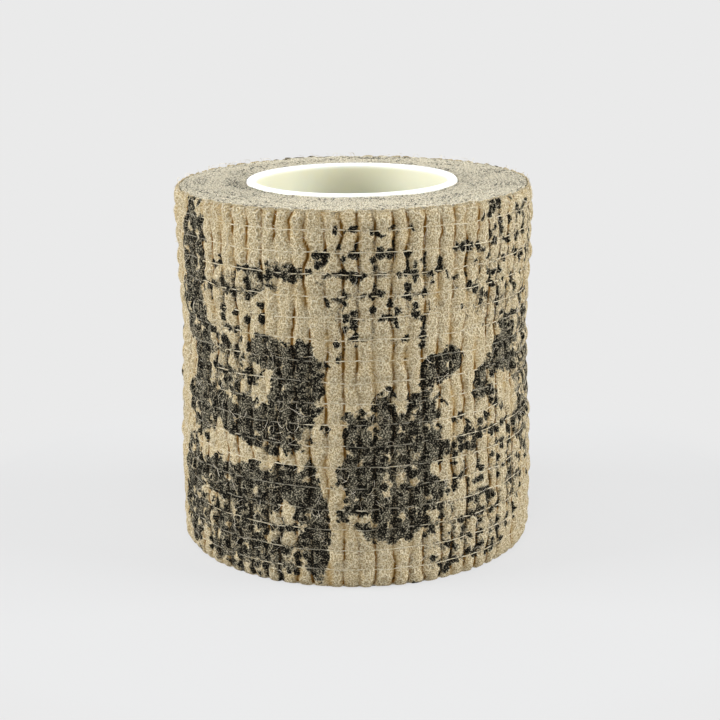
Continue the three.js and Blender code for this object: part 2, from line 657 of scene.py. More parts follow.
@dataclass(frozen=True)
class WebFinish:
    """The printed web: sand-coloured matted fibres with speckled charcoal ink, and painted shade and a
    painted glow of light through the fibres in and beside the creases.

    Attributes:
        finish: what the shader sets all over.
        sand: the web's own colour.
        pale: the colour of the strands on top.
        dull: the colour in the pressed spots, and between the strands.
        flank_glow_colour: the painted glow of light through the fibres on a crease's flanks.
        painted_crease_shade: the painted shade down in a crease, yellow brown where light comes through the
            fibres.
        painted_deep_crease_shade: the deeper painted shade at the bottom of the deepest creases.
        charcoal, soot, ash: the ink's usual, darkest and lightest colours; soot also stands for the painted
            shade in the inked creases.
    """

    finish: Finish
    sand: Colour = (0.590, 0.474, 0.276)
    pale: Colour = (0.870, 0.785, 0.580)
    dull: Colour = (0.270, 0.198, 0.088)
    flank_glow_colour: Colour = (0.430, 0.270, 0.080)
    painted_crease_shade: Colour = (0.190, 0.092, 0.016)
    painted_deep_crease_shade: Colour = (0.045, 0.020, 0.004)
    charcoal: Colour = (0.030, 0.028, 0.020)
    soot: Colour = (0.003, 0.003, 0.002)
    ash: Colour = (0.185, 0.176, 0.134)

    def material(
        self, felt: bpy.types.NodeTree, bonds: bpy.types.NodeTree, ink: bpy.types.NodeTree
    ) -> bpy.types.Material:
        """Builds the material from the shared groups and the piece's creases, hollows and coverage.

        Args:
            felt, bonds, ink: the groups for the fibres, the pressed spots and the ink.

        Returns:
            The material.
        """
        material, graph, shader = self.finish.start()
        place = graph.weave()
        crease, warm, hollow, cover = (graph.field(name) for name in ("crease", "warm", "hollow", "cover"))
        matted = graph.placed(felt, {"Map": place, "Size": 1.0})
        spots = graph.placed(bonds, {"Map": place})
        print_ink = graph.placed(ink, {"Map": place, "Coverage": cover, "Hollow": hollow})
        strands, grain = matted.outputs["Strands"], matted.outputs["Grain"]
        broad = graph.noise(place, scale=0.16, detail=2.0).outputs[0]

        cloth = graph.blend(graph.between(broad, 0.3, 0.7), self.sand, tuple(0.9 * c for c in self.sand))
        cloth = graph.blend(graph.math("MULTIPLY", spots.outputs["Floor"], 0.55), cloth, self.dull)
        sparse = graph.math("SUBTRACT", 1.0, graph.between(grain, 0.38, 0.54))
        cloth = graph.blend(sparse, cloth, self.dull)
        lit = graph.math("MULTIPLY_ADD", strands, 0.40, graph.math("MULTIPLY", spots.outputs["Rim"], 0.50))
        lit = graph.math("MULTIPLY_ADD", graph.between(grain, 0.52, 0.62), 0.6, lit, clamp=True)
        cloth = graph.blend(lit, cloth, self.pale)
        # Painted glow of light through the fibres on the creases' flanks.
        cloth = graph.blend(graph.math("MULTIPLY", warm, 0.75), cloth, self.flank_glow_colour)
        # Painted shade down in the creases, yellow brown from light through the fibres, and deeper at the
        # bottom of the deepest ones.
        cloth = graph.blend(graph.between(crease, 0.22, 0.70), cloth, self.painted_crease_shade)
        cloth = graph.blend(graph.math("MULTIPLY", graph.between(crease, 0.70, 1.0), 0.9), cloth, self.painted_deep_crease_shade)

        flecks = graph.math("MULTIPLY_ADD", strands, 0.20, graph.between(grain, 0.47, 0.66))
        inked = graph.blend(flecks, self.charcoal, self.ash)
        # Black where the ink has pooled, and painted shade down in the creases of the inked web; pale fibres
        # showing through lighten both.
        ink_pool_and_crease_shade = graph.math("MAXIMUM", print_ink.outputs["Pool"], graph.between(crease, 0.28, 0.60))
        worn = graph.math("MULTIPLY_ADD", graph.between(grain, 0.56, 0.68), -0.30, 1.0)
        ink_pool_and_crease_shade = graph.math("MULTIPLY", ink_pool_and_crease_shade, worn)
        inked = graph.blend(ink_pool_and_crease_shade, inked, self.soot)
        thin = graph.math("MULTIPLY_ADD", graph.between(grain, 0.52, 0.62), -0.45, 1.0)
        thin = graph.math("MAXIMUM", thin, ink_pool_and_crease_shade)
        colour = graph.blend(graph.math("MULTIPLY", print_ink.outputs["Ink"], thin), cloth, inked)

        rise = graph.math("MULTIPLY_ADD", spots.outputs["Floor"], -0.5, matted.outputs["Height"])
        rise = graph.math("MULTIPLY_ADD", spots.outputs["Rim"], 0.25, rise)
        graph.dress(shader, colour, rise, strength=0.9, depth=0.34)
        return material


@dataclass(frozen=True)
class EdgeFinish:
    """The web's cut edges on the end faces: pale pressed laps, flecked with ink along the laps.

    Attributes:
        finish: what the shader sets all over.
        sand, pale, dull: the fibres' usual, lightest and darkest colours.
        fleck, soot: the ink's usual and darkest colours.
    """

    finish: Finish
    sand: Colour = (0.600, 0.535, 0.385)
    pale: Colour = (0.830, 0.785, 0.645)
    dull: Colour = (0.330, 0.295, 0.205)
    fleck: Colour = (0.150, 0.148, 0.130)
    soot: Colour = (0.018, 0.017, 0.014)

    def material(self, felt: bpy.types.NodeTree) -> bpy.types.Material:
        """Builds the material: the weave map runs along the laps one way and across them the other.

        Args:
            felt: the group for the fibres.

        Returns:
            The material.
        """
        material, graph, shader = self.finish.start()
        place, crease, cover = graph.weave(), graph.field("crease"), graph.field("cover")
        matted = graph.placed(felt, {"Map": place, "Size": 1.15})
        grain = matted.outputs["Grain"]
        streaks = graph.noise(graph.scaled(place, (1.5, 3.0, 1.0)), scale=1.0, detail=4.0, roughness=0.7)
        patches = graph.noise(graph.scaled(place, (0.16, 0.4, 1.0)), scale=1.0, detail=2.0)
        inked = graph.math("MULTIPLY_ADD", cover, 0.06, -0.14)
        inked = graph.math("MULTIPLY_ADD", patches.outputs[0], 0.30, inked)
        level = graph.math("ADD", streaks.outputs[0], inked)
        cloth = graph.blend(graph.between(grain, 0.40, 0.54), self.dull, self.sand)
        lit = graph.math("MULTIPLY_ADD", matted.outputs["Strands"], 0.4, graph.between(grain, 0.50, 0.62))
        cloth = graph.blend(graph.math("MINIMUM", lit, 1.0), cloth, self.pale)
        cloth = graph.blend(graph.math("MULTIPLY", graph.between(crease, 0.3, 1.0), 0.5), cloth, self.fleck)
        cloth = graph.blend(graph.math("MULTIPLY", graph.between(level, 0.55, 0.62), 0.75), cloth, self.fleck)
        cloth = graph.blend(graph.math("MULTIPLY", graph.between(level, 0.62, 0.68), 0.9), cloth, self.soot)
        graph.dress(shader, cloth, matted.outputs["Height"], strength=0.9, depth=0.2)
        return material


@dataclass(frozen=True)
class YarnFinish:
    """Thin elastic yarn: off-white and twisted, dusted with fibres, and greyer where the print crosses.

    Attributes:
        finish: what the shader sets all over.
        bare, dusty, inked: the colours of the clean yarn, of the dust on it and of the ink.
    """

    finish: Finish
    bare: Colour = (0.66, 0.60, 0.46)
    dusty: Colour = (0.46, 0.38, 0.23)
    inked: Colour = (0.13, 0.125, 0.10)

    def material(self) -> bpy.types.Material:
        """Builds the material: slanted bands for the twist, and a noise for the dust.

        Returns:
            The material.
        """
        material, graph, shader = self.finish.start()
        place = graph.weave()
        twist = graph.add(
            "TexWave",
            {"Vector": graph.scaled(place, (1.0, 3.0, 1.0)), "Scale": 1.6, "Distortion": 1.5},
            bands_direction="DIAGONAL",
        )
        dust = graph.noise(place, scale=1.4, detail=3.0).outputs[0]
        colour = graph.blend(graph.between(dust, 0.42, 0.62), self.bare, self.dusty)
        crossed = graph.between(graph.field("cover"), 0.4, 0.8)
        colour = graph.blend(graph.math("MULTIPLY", crossed, 0.8), colour, self.inked)
        graph.dress(shader, colour, twist.outputs["Fac"], strength=0.5, depth=0.04)
        return material


@dataclass(frozen=True)
class CoreFinish:
    """Moulded plastic: creamy inside, with a painted highlight at the rims and faint scuffs along the bore.

    Attributes:
        finish: what the shader sets all over.
        cream, white_and_rim_highlight: the colour of the wall, and the paler colour of its cloudy patches and
            of the painted highlight on its rims.
        rim_highlight_fade: how far under a rim the painted highlight starts and is whole, in millimetres.
    """

    finish: Finish
    cream: Colour = (0.660, 0.635, 0.470)
    white_and_rim_highlight: Colour = (0.900, 0.900, 0.860)
    rim_highlight_fade: tuple[float, float] = (0.9, 0.1)

    def material(self, top: float) -> bpy.types.Material:
        """Builds the material.

        Args:
            top: the height of the upper rim, in metres.

        Returns:
            The material.
        """
        material, graph, shader = self.finish.start()
        place = graph.add("TexCoord").outputs["Object"]
        height = graph.add("SeparateXYZ", {0: place}).outputs[2]
        middle = graph.math("ABSOLUTE", graph.math("SUBTRACT", height, 0.5 * top))
        # Mask of the painted rim highlight, from 0 a little under each rim to 1 at the rim.
        rim = graph.between(middle, *(0.5 * top - fade * MM for fade in self.rim_highlight_fade))
        cloud = graph.noise(place, scale=90.0, detail=3.0, space="3D").outputs[0]
        colour = graph.blend(graph.math("MULTIPLY", cloud, 0.18), self.cream, self.white_and_rim_highlight)
        # Painted highlight on both rims, standing in for the strong light from above on the upper rim.
        colour = graph.blend(rim, colour, self.white_and_rim_highlight)
        drawn = graph.scaled(place, (2600.0, 2600.0, 130.0))
        scuff = graph.noise(drawn, scale=1.0, detail=3.0, space="3D").outputs[0]
        rough = graph.math("MULTIPLY_ADD", scuff, 0.22, self.finish.roughness - 0.1)
        graph.tree.links.new(rough, shader.inputs["Roughness"])
        graph.dress(shader, colour, scuff, strength=0.25, depth=0.02)
        return material


class Wardrobe:
    """Every material of the roll, built once."""

    def __init__(self, rim_height: float) -> None:
        """Builds the shared groups and the materials.

        Args:
            rim_height: the height of the core's upper rim, in metres.
        """
        felt, bonds, ink = felt_group(), bond_group(), ink_group()
        fabric = Finish("printed_web", roughness=0.92, shine=0.06)
        self.web = WebFinish(fabric).material(felt, bonds, ink)
        self.edge = EdgeFinish(Finish("web_edge", roughness=0.95, shine=0.06)).material(felt)
        self.yarn = YarnFinish(Finish("elastic_yarn", roughness=0.7, shine=0.25)).material()
        fuzz = Finish("loose_fibre", roughness=0.8, shine=0.25)
        self.fibre = YarnFinish(fuzz, bare=(0.80, 0.74, 0.62)).material()
        plastic = Finish("core_plastic", roughness=0.38, glow=0.55, reach=5.0)
        self.core = CoreFinish(plastic).material(rim_height)


# ------------------------------------------------------------------------------------------- the winding


@dataclass(frozen=True)
class Winding:
    """How the last turn winds, worked out from the frame.

    Attributes:
        root: the angle of the joint where the tail leaves the roll, past one turn from the seam.
        curl: the angle of the joint in the middle of the tail.
        root_radius: the web's face at the root.
        growth: how much the face's radius grows with each degree.
        tip: the angle of the tail's end.
        width: the web's width.
        thickness: how thick the last turn is.
        first_yarn, yarn_pitch, yarns: the heights of the elastic yarns.
        core_radius: the outside of the core.
    """

    root: float
    curl: float
    root_radius: float
    growth: float
    tip: float
    width: float
    thickness: float
    first_yarn: float
    yarn_pitch: float
    yarns: int
    core_radius: float

    @classmethod
    def from_frame(cls) -> "Winding":
        """Reads the joints' places and the nodes' boxes.

        Returns:
            The winding.
        """
        places = {j["name"]: Vector(j["pos_m"]) / MM for j in frame["joints"]}
        peel, bend = places["tail_peel"], places["tail_curl"]
        root = 360.0 + math.degrees(math.atan2(peel.y, peel.x))
        curl = 360.0 + math.degrees(math.atan2(bend.y, bend.x))
        root_radius, curl_radius = peel.xy.length, bend.xy.length
        growth = (curl_radius - root_radius) / (curl - root)
        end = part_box("tail_tip_face_ply")[0].x / MM
        tip = curl
        for _ in range(4):
            tip = 360.0 + math.degrees(math.acos(end / (root_radius + growth * (tip - root))))
        yarns = sorted(n for n in frame["nodes"] if n.startswith("outer_turn_yarn_"))
        low, high = (sum(z.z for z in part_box(n)) / 2 / MM for n in (yarns[0], yarns[-1]))
        return cls(
            root=root,
            curl=curl,
            root_radius=root_radius,
            growth=growth,
            tip=tip,
            width=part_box("wound_web")[1].z / MM,
            thickness=growth * 360.0,
            first_yarn=low,
            yarn_pitch=(high - low) / (len(yarns) - 1),
            yarns=len(yarns),
            core_radius=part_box("core_tube")[1].x / MM,
        )

    def face(self, angle: Array) -> Array:
        """The radius of the last turn's face: it grows evenly with the angle."""
        return self.root_radius + self.growth * (angle - self.root)

    def arc(self, angle: Array) -> Array:
        """How far along the web an angle lies, in millimetres from the angle 0."""
        return np.radians(angle) * self.root_radius


@dataclass(frozen=True)
class Blotch:
    """One patch of dense ink: an oval with soft, ragged sides.

    Attributes:
        angle, height: its middle, in degrees from the front of the roll and millimetres up.
        across, up: half its size each way, in degrees and in millimetres.
        tilt: how far it turns, in degrees, anticlockwise.
        coverage: how much ink it holds in the middle.
        hollow: how much of that its middle lacks.
    """

    angle: float
    height: float
    across: float
    up: float
    tilt: float = 0.0
    coverage: float = 0.9
    hollow: float = 0.0


class Print:
    """Where the ink lies on the web: blotches of charcoal specks, scattered about on bare sand."""

    # Which way the front lies, how long a degree is on the face, and the blotches at the front.
    FRONT = -90.0
    MM_PER_DEGREE = 0.43
    BLOTCHES = (
        Blotch(-61, 42, 8, 11, tilt=-12, coverage=0.84),
        Blotch(-57, 30, 7, 8, tilt=6, coverage=0.80),
        Blotch(-58, 21.5, 9, 4.5, tilt=-10, coverage=0.80),
        Blotch(-18, 27, 10, 6.6, tilt=-20, coverage=1.0),
        Blotch(-34, 21.8, 22, 3.4, tilt=-5, coverage=0.90),
        Blotch(-28, 31, 8, 2.6, tilt=-4, coverage=0.86),
        Blotch(-42, 27, 14, 7, coverage=0.52),
        Blotch(-36, 13.4, 28, 2.8, coverage=1.0),
        Blotch(-13, 9.0, 4.6, 8.5, coverage=1.0),
        Blotch(-64, 10, 9, 9, coverage=0.84),
        Blotch(-34, 5.5, 22, 6, coverage=0.56),
        Blotch(-42, 4.5, 14, 3.5, tilt=20, coverage=0.76),
        Blotch(13, 16.5, 16, 9.8, tilt=-12, coverage=1.0, hollow=0.42),
        Blotch(1, 17.5, 5.0, 7.0, coverage=1.0),
        Blotch(28, 29.4, 8, 2.0, tilt=24, coverage=0.92),
        Blotch(8, 40.5, 20, 9, coverage=0.34),
        Blotch(-32, 40.5, 17, 2.4, tilt=14, coverage=0.54),
        Blotch(-42, 36, 14, 7, coverage=0.30),
        Blotch(56, 40, 24, 10, tilt=15, coverage=0.40),
        Blotch(56, 29.5, 11, 3.6, tilt=28, coverage=0.80),
        Blotch(45, 26, 8, 2.4, tilt=28, coverage=0.70),
        Blotch(46, 15, 26, 10, tilt=30, coverage=0.36),
        Blotch(42, 7, 26, 6, tilt=25, coverage=0.46),
        Blotch(72, 24, 12, 12, coverage=0.60),
    )
    # How many more blotches the rest of the roll has, and what they are drawn from.
    MORE = 46
    MORE_SEED = 11

    def __init__(self) -> None:
        """Adds blotches of chance sizes round the rest of the roll to those at the front."""
        draw = np.random.default_rng(self.MORE_SEED)
        self.blotches = list(self.BLOTCHES)
        for _ in range(self.MORE):
            self.blotches.append(
                Blotch(
                    angle=draw.uniform(92.0, 268.0),
                    height=draw.uniform(2.0, 48.0),
                    across=draw.uniform(6.0, 20.0),
                    up=draw.uniform(2.5, 8.5),
                    tilt=draw.uniform(-35.0, 35.0),
                    coverage=draw.uniform(0.35, 1.0),
                    hollow=draw.uniform(0.0, 0.4),
                )
            )
        self.ragged = ValueNoise(21)
        self.finer = ValueNoise(22)

    def coverage(self, angle: Array, height: Array) -> Array:
        """How much ink the web takes at each point, from 0 to 1.

        The distance from a blotch's middle is its two offsets, turned by its tilt, each over its half size,
        and put together as the two sides of a right angle. It is roughened by noise, and the ink eases out
        around 1. The strongest blotch wins.

        Args:
            angle: degrees round the roll.
            height: millimetres up.

        Returns:
            The coverage.
        """
        along = angle * self.MM_PER_DEGREE
        rough = 0.42 * self.ragged(along / 2.6, height / 2.6) + 0.30 * self.finer(along / 1.1, height / 1.1)
        total = np.zeros(np.broadcast(angle, height).shape)
        for b in self.blotches:
            aside = (angle - self.FRONT - b.angle + 180.0) % 360.0 - 180.0
            x, y = aside * self.MM_PER_DEGREE, height - b.height
            c, s = math.cos(math.radians(b.tilt)), math.sin(math.radians(b.tilt))
            reach = np.hypot((c * x + s * y) / (b.across * self.MM_PER_DEGREE), (c * y - s * x) / b.up)
            inside = 1.0 - smooth((reach + 0.55 * rough - 0.78) / 0.42)
            middle = 1.0 - b.hollow * (1.0 - smooth((reach - 0.25 + 0.4 * rough) / 0.4))
            total = np.maximum(total, b.coverage * inside * middle)
        return np.clip(total, 0.0, 1.0)


@dataclass(frozen=True)
class Pucker:
    """The relief of the web: ribs up its width, creased apart and pinched in by the yarns.

    Attributes:
        winding: how the web winds.
        ribs: how many ribs go round the roll.
        phase: where the first crease lies, as a share of a rib.
        lean, bend, waver: how far a whole crease, its stretch at a yarn and its fine line shift, in ribs.
        crease_width: how wide a crease is.
        crease_depth: the shallowest and the deepest crease.
        flank: how far from a crease the painted glow of light through the fibres reaches.
        shoulder: how far from a crease the pillows and the yarns' pull start.
        crown: how far a rib's sides fall away before its creases.
        pillow: how much the pillows between the yarns differ in height.
        pinch: how far a yarn pulls the ribs in.
        pinch_width: how wide that pull is.
        dome: how far a pillow falls away from its middle up to the yarns.
        swell: how far broad waves move the face.
        nap: how far the finest waves do.
        deepest: what the whole drop tends to, by the hyperbolic tangent, so that the web stays in one piece.
        seed: what the chance values are drawn from.
    """

    winding: Winding
    ribs: int = 72
    phase: float = 0.24
    lean: float = 0.10
    bend: float = 0.15
    waver: float = 0.06
    crease_width: float = 0.24
    crease_depth: tuple[float, float] = (0.24, 0.84)
    flank: float = 0.46
    shoulder: float = 0.35
    crown: float = 0.23
    pillow: float = 0.17
    pinch: float = 0.19
    pinch_width: float = 0.36
    dome: float = 0.30
    swell: float = 0.10
    nap: float = 0.035
    deepest: float = 0.68
    seed: int = 5

    def knots(self, index: int, scale: float, level: float = 0.0) -> Array:
        """A table of chance values, one for each rib and each yarn, about a level."""
        draw = np.random.default_rng(self.seed * 100 + index)
        return level + scale * draw.uniform(-1.0, 1.0, (2 * self.ribs, self.winding.yarns + 6))

    def looked_up(self, table: Array, rib: Array, cell: Array) -> Array:
        """A table's value for a rib, eased from one yarn to the next.

        Args:
            table: the chance values.
            rib: the rib's number.
            cell: the place among the yarns, a whole number at each.

        Returns:
            The values.
        """
        row = np.clip(np.floor(cell).astype(int), 0, table.shape[1] - 2)
        share = smooth(smooth(cell - row))
        rib = rib % table.shape[0]
        return table[rib, row] * (1.0 - share) + table[rib, row + 1] * share

    def yarn_height(self, number: Array, angle: Array) -> Array:
        """The height of a yarn, which wanders a little as it goes round.

        Args:
            number: the yarn's number, from 0 for the lowest.
            angle: degrees round the roll.

        Returns:
            Millimetres up.
        """
        sway = ValueNoise(self.seed + 61)
        level = self.winding.first_yarn + self.winding.yarn_pitch * number
        return level + 0.16 * sway(angle / 7.0, number * 3.7) + 0.05 * sway(angle / 1.9, number * 5.3 + 40.0)

    def relief(self, angle: Array, height: Array) -> tuple[Array, dict[str, Array]]:
        """How far the surface lies under the crests, and how deep in a crease it is.

        The creases lie one rib apart, each shifted by its own chance values. Near one, the surface drops by
        its depth times a bell of the distance. The rib's sides fall away with the square of the distance from
        the crest, each pillow has a height of its own, and a bell about each yarn pulls the surface in. The
        whole drop is held by a hyperbolic tangent.

        Args:
            angle: degrees round the roll.
            height: millimetres up.

        Returns:
            The drop in millimetres, and three fields from 0 to 1 for the materials: how deep in a crease a
            point is, which sets the painted crease shade, how much painted glow of light through the crease's
            flank it gets, and how hollow the web is.
        """
        angle, height = np.broadcast_arrays(angle, height)
        step = 360.0 / self.ribs
        pitch = self.winding.arc(step)
        u = angle / step - self.phase
        row = (height - self.winding.first_yarn) / self.winding.yarn_pitch
        cell = row + 2.0
        lean = self.knots(1, self.lean)
        bend = self.knots(2, self.bend)
        deep = self.knots(3, 0.5, 0.5)
        tall = self.knots(4, 1.0)
        glow = self.knots(5, 0.6, 0.35)
        fine = ValueNoise(self.seed + 7)
        low, high = self.crease_depth
        base = np.floor(u).astype(int)
        near = np.full(u.shape, np.inf)
        drop, crease, warm = (np.zeros(u.shape) for _ in range(3))
        left = base - 1
        for shift in (-1, 0, 1, 2):
            k = base + shift
            where = k + lean[k % len(lean), 0] + self.looked_up(bend, k, cell)
            where = where + self.waver * fine(k * 3.1, height / 0.9)
            gap = np.abs(u - where) * pitch
            depth = self.looked_up(deep, k, cell)
            bell = np.exp(-((gap / self.crease_width) ** 1.7))
            drop = np.maximum(drop, (low + (high - low) * depth) * bell)
            ragged = 1.0 + 0.3 * fine(k * 1.7, height / 0.5)
            crease = np.maximum(crease, (0.25 + 0.75 * depth) * ragged * bell)
            # How strongly this crease's flanks get the painted glow of light through the fibres.
            lit = np.clip(self.looked_up(glow, k, cell), 0.0, 1.0)
            warm = np.maximum(warm, lit * np.exp(-((gap / self.flank) ** 2)))
            near = np.minimum(near, gap)
            left = np.where(u > where, k, left)
        edge = np.clip(near / (0.5 * pitch), 0.0, 1.0)
        drop = drop + self.crown * (1.0 - edge) ** 2
        body = 1.0 - np.exp(-((near / self.shoulder) ** 2))
        pillow = self.looked_up(tall, left, cell + 0.5)
        drop = drop - self.pillow * pillow * body + self.pillow
        number = np.clip(np.round(row), 0, self.winding.yarns - 1)
        away = height - self.yarn_height(number, angle)
        drop = drop + self.pinch * np.exp(-((away / self.pinch_width) ** 2)) * body
        drop = drop + self.dome * (1.0 - np.minimum(2.0 * np.abs(away) / self.winding.yarn_pitch, 1.0)) ** 2
        along = self.winding.arc(angle)
        broad = ValueNoise(self.seed + 17)
        drop = drop + self.swell * (1.0 + broad(along / 5.0, height / 4.0))
        drop = drop + self.nap * fine(along / 0.55, height / 0.6)
        hollow = np.clip((drop - 0.15) / 0.6, 0.0, 1.0)
        fields = {"crease": np.clip(crease, 0.0, 1.0), "warm": warm, "hollow": hollow}
        return self.deepest * np.tanh(np.maximum(drop, 0.0) / self.deepest), fields


# -------------------------------------------------------------------------------------------- the pieces


class Roll:
    """What every piece is made from: the winding, the materials, the print and the web's pucker."""

    # How far the roll swells out at each height, and how its face rounds off beside the web's edges.
    BULGE = (
        (0.0, 0.10),
        (3.0, 0.28),
        (9.0, 0.36),
        (20.0, -0.02),
        (30.0, -0.42),
        (40.0, -0.10),
        (46.0, 0.08),
        (50.0, 0.0),
    )
    EDGE_ROUND = 1.5
    EDGE_DROP = 0.60

    def __init__(self) -> None:
        """Reads the frame and builds what the pieces share."""
        self.winding = Winding.from_frame()
        self.print = Print()
        self.outer = Pucker(self.winding)
        self.inner = Pucker(self.winding, seed=9, crease_depth=(0.15, 0.34), crown=0.18)
        self.wardrobe = Wardrobe(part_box("core_tube")[1].z)

    def bulge(self, height: Array) -> Array:
        """How far the roll swells out, or draws in, at a height."""
        return eased(height, self.BULGE)

    def edge_drop(self, height: Array) -> Array:
        """How far the face turns in beside the web's two edges, with the square of the distance."""
        inside = np.minimum(height, self.winding.width - height)
        return self.EDGE_DROP * np.clip(1.0 - inside / self.EDGE_ROUND, 0.0, 1.0) ** 2


@dataclass
class Core:
    """The moulded core tube.

    Attributes:
        roll: what the pieces are made from.
        wall: how thick its wall is.
        rim: the radius of its rounded rims.
        columns: how many steps go round it.
        rim_steps, wall_steps: how many steps a quarter of a rim has, and the wall's height.
    """

    roll: Roll
    wall: float = 1.25
    rim: float = 0.42
    columns: int = 288
    rim_steps: int = 6
    wall_steps: int = 12

    def profile(self) -> Array:
        """The wall's outline: straight walls, and quarter rounds at the rims.

        Returns:
            Rows of radius and height.
        """
        low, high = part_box("core_tube")
        outer, inner = high.x / MM, high.x / MM - self.wall
        bottom, top = low.z / MM, high.z / MM
        turn = np.radians(np.linspace(0.0, 90.0, self.rim_steps + 1))
        heights = np.linspace(bottom + self.rim, top - self.rim, self.wall_steps)[1:-1]
        rows = [
            (outer - self.rim + self.rim * np.sin(turn), bottom + self.rim - self.rim * np.cos(turn)),
            (np.full(len(heights), outer), heights),
            (outer - self.rim + self.rim * np.cos(turn), top - self.rim + self.rim * np.sin(turn)),
            (inner + self.rim - self.rim * np.sin(turn), top - self.rim + self.rim * np.cos(turn)),
            (np.full(len(heights), inner), heights[::-1]),
            (inner + self.rim - self.rim * np.cos(turn), bottom + self.rim - self.rim * np.sin(turn)),
        ]
        return np.concatenate([np.stack(pair, axis=1) for pair in rows])

    def build(self) -> bpy.types.Object:
        """Makes the core, as its profile turned about the axis.

        Returns:
            The piece.
        """
        outline = self.profile()
        angle = np.linspace(0.0, 360.0, self.columns, endpoint=False)
        points = round_roll(angle[:, None], outline[None, :, 0], outline[None, :, 1])
        steps = np.linalg.norm(np.diff(outline, axis=0, append=outline[:1]), axis=1)
        girth = np.concatenate([[0.0], np.cumsum(steps)])
        arc = np.linspace(0.0, 2.0 * np.pi * self.roll.winding.core_radius, self.columns + 1)
        weave = np.stack(np.broadcast_arrays(arc[:, None], girth[None, :]), axis=-1)
        made = Loft(points, weave, True, 1, np.ones(len(outline)), {}).mesh("core_tube_moulding")
        made.data.materials.append(self.roll.wardrobe.core)
        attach(made, "roll")
        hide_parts("core_tube")
        return made


@dataclass
class WoundLaps:
    """The laps that cling together under the last turn: ridged end faces, and a puckered face outside.

    Attributes:
        roll: what the pieces are made from.
        columns: how many steps go round.
        face_rows, side_rows, bore_rows: how many steps cross each end face, the side and the bore.
        lap: how thick a pressed lap is.
        groove: how deep the gap between two laps is at the end faces.
        groove_width: how wide it is, as a share of a lap.
        level: how far the laps' edges lie in from the web's full width.
        clearance: the gap under the last turn.
        bore_gap: the gap round the core.
        inset: how far in from the side an end face stops.
    """

    roll: Roll
    columns: int = 560
    face_rows: int = 50
    side_rows: int = 56
    bore_rows: int = 3
    lap: float = 0.5
    groove: float = 0.13
    groove_width: float = 0.20
    level: float = 0.10
    clearance: float = 0.06
    bore_gap: float = 0.05
    inset: float = 0.05

    def end_drop(self, angle: Array, radius: Array) -> tuple[Array, Array]:
        """How far an end face lies under the web's edge, and how deep between two laps.

        The laps are a spiral, one lap thicker with each turn, which wanders with the puckered web. Between
        two laps the face drops by a bell, and each lap stands at a height of its own that changes along it.

        Args:
            angle: degrees round the roll.
            radius: millimetres from the axis.

        Returns:
            The drop in millimetres, and the depth from 0 to 1.
        """
        wander, own, fine = (ValueNoise(seed) for seed in (31, 32, 33))
        arc = np.radians(angle) * radius
        count = (radius - self.roll.winding.core_radius) / self.lap - angle / 360.0
        count = count + 0.30 * wander(arc / 1.9, radius / 1.3) + 0.12 * fine(arc / 0.6, radius / 0.5)
        gap = np.abs(count - np.round(count))
        between = np.exp(-((gap / self.groove_width) ** 2))
        height = 0.07 * own(arc / 2.1, np.round(count + 0.5) * 3.3) + 0.06 * fine(arc / 0.5, radius / 0.35)
        return self.level + self.groove * between - height, between

    def build(self) -> bpy.types.Object:
        """Makes the laps, as one loop of upper face, side, lower face and bore carried round.

        Returns:
            The piece.
        """
        w = self.roll.winding
        angle = w.tip - 360.0 + np.linspace(0.0, 360.0, self.columns, endpoint=False)
        a = angle[:, None]
        bore = w.core_radius + self.bore_gap
        side = w.face(a) - w.thickness - self.clearance
        share = np.linspace(0.0, 1.0, self.face_rows)[None, :]
        heights = np.linspace(w.width, 0.0, self.side_rows + 2)[None, 1:-1]
        parts, maps = [], []
        fields = {"crease": [], "warm": [], "hollow": []}
        for top in (True, False):
            ring = share if top else 1.0 - share
            radius = bore + (side - self.inset - bore) * ring
            drop, between = self.end_drop(a, radius)
            fall = 0.10 * smooth((ring - 0.97) / 0.03)
            z = w.width - drop - fall if top else np.maximum(drop + fall - 0.08, 0.0)
            parts.append(round_roll(a, radius, z))
            for key in fields:
                fields[key].append(between if key == "crease" else np.zeros(between.shape))
            maps.append(np.stack(np.broadcast_arrays(w.arc(a), radius), axis=-1))
        drop, side_fields = self.roll.inner.relief(a, heights)
        radius = side + self.roll.bulge(heights) - drop - self.roll.edge_drop(heights)
        parts.insert(1, round_roll(a, radius, heights))
        for key in fields:
            fields[key].insert(1, side_fields[key])
            fields[key].append(np.zeros((self.columns, self.bore_rows)))
        maps.insert(1, np.stack(np.broadcast_arrays(w.arc(a), heights), axis=-1))
        lift = np.linspace(0.0, w.width, self.bore_rows + 2)[None, 1:-1]
        parts.append(round_roll(a, np.full(lift.shape, bore), lift))
        maps.append(np.stack(np.broadcast_arrays(w.arc(a), lift), axis=-1))
        points = np.concatenate([np.broadcast_to(p, (self.columns, p.shape[1], 3)) for p in parts], axis=1)
        weave = np.concatenate([np.broadcast_to(m, (self.columns, m.shape[1], 2)) for m in maps], axis=1)
        weave = np.concatenate([weave, weave[:, :1]], axis=1)
        weave = np.concatenate([weave, weave[:1] + [w.arc(360.0), 0.0]], axis=0)
        radius = np.hypot(points[..., 0], points[..., 1])
        shown = {key: np.concatenate(parts, axis=1) for key, parts in fields.items()}
        shown["cover"] = self.roll.print.coverage(a + 17.0 * radius, points[..., 2])
        squeeze = np.ones(points.shape[1])
        squeeze[self.face_rows : self.face_rows + self.side_rows] = 0.4
        squeeze[-self.bore_rows - 1 :] = 0.05
        made = Loft(points, weave, True, 3, squeeze, shown).mesh("wound_laps")
        made.data.materials.append(self.roll.wardrobe.edge)
        made.data.materials.append(self.roll.wardrobe.web)
        row = np.tile(np.arange(points.shape[1]), self.columns)
        on_side = (row >= self.face_rows) & (row < self.face_rows + self.side_rows - 1)
        made.data.polygons.foreach_set("material_index", on_side.astype(np.int32))
        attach(made, "roll")
        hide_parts("wound_web")
        return made


